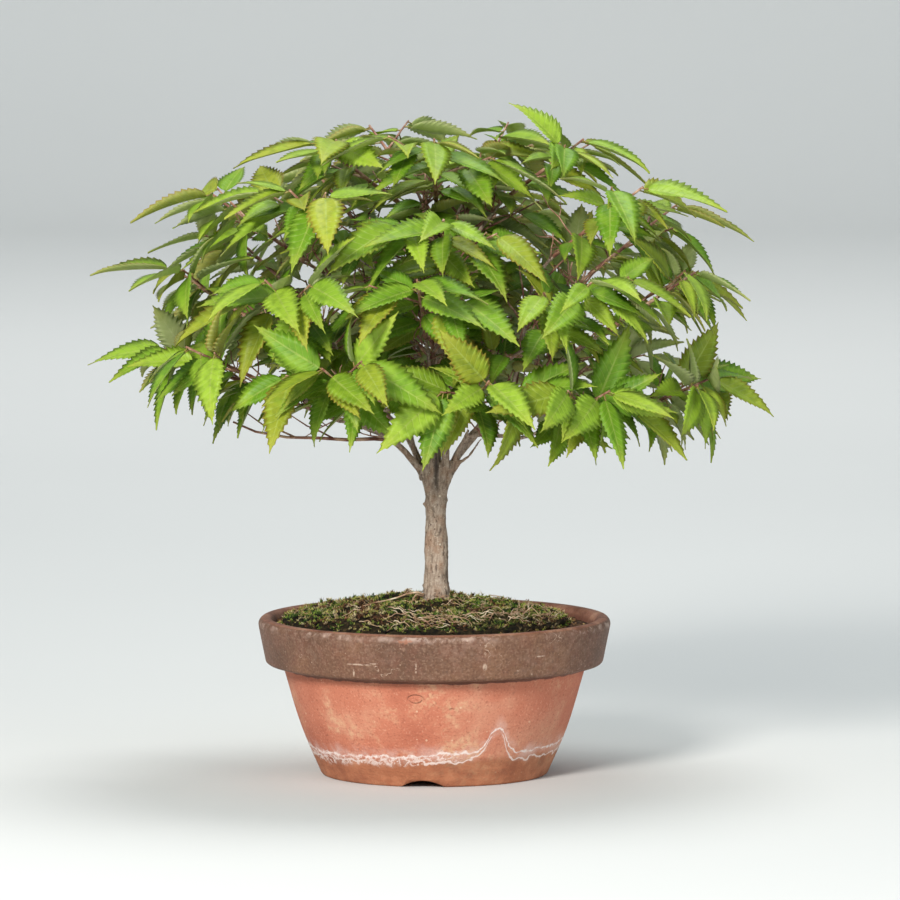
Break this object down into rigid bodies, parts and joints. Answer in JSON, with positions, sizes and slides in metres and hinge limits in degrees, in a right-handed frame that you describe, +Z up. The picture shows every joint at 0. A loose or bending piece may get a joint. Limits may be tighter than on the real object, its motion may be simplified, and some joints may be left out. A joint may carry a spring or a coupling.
{
  "type": "zelkova bonsai",
  "caption": "Broom-style zelkova bonsai with toothed leaves on radiating shoots, growing through moss in a round two-tone clay pot with a foot ring.",
  "frame": {"origin": "on the pot's axis, on the surface the pot stands on", "axes": "+Z up along the trunk, -Y towards the viewer of the tree's front, +X to that viewer's right"},
  "size_m": [0.3079, 0.2674, 0.2929],
  "materials": {
    "terracotta": "bare fired clay with a dark brown fired collar and pale salt bloom",
    "net_plastic": "dark moulded plastic",
    "bonsai_soil": "damp granular soil",
    "moss": "soft tufted moss with dry tips",
    "bark": "smooth grey-brown bark with pale lenticels",
    "leaf": "fresh thin leaf, satin above and paler below"
  },
  "bodies": {
    "root": {"pot": "terracotta", "drain_net": "net_plastic", "soil": "bonsai_soil", "moss": "moss", "trunk": "bark", "spray_01": "leaf", "spray_02": "leaf", "spray_03": "leaf", "spray_04": "leaf", "spray_05": "leaf", "spray_06": "leaf", "spray_07": "leaf", "spray_08": "leaf", "spray_09": "leaf", "spray_10": "leaf", "spray_11": "leaf", "spray_12": "leaf", "spray_13": "leaf", "spray_14": "leaf", "spray_15": "leaf", "spray_16": "leaf", "spray_17": "leaf", "spray_18": "leaf", "spray_19": "leaf", "spray_20": "leaf", "spray_21": "leaf", "spray_22": "leaf", "spray_23": "leaf", "spray_24": "leaf", "spray_25": "leaf", "spray_26": "leaf", "spray_27": "leaf", "spray_28": "leaf", "spray_29": "leaf", "spray_30": "leaf", "spray_31": "leaf", "spray_32": "leaf", "spray_33": "leaf"}
  },
  "joints": []
}
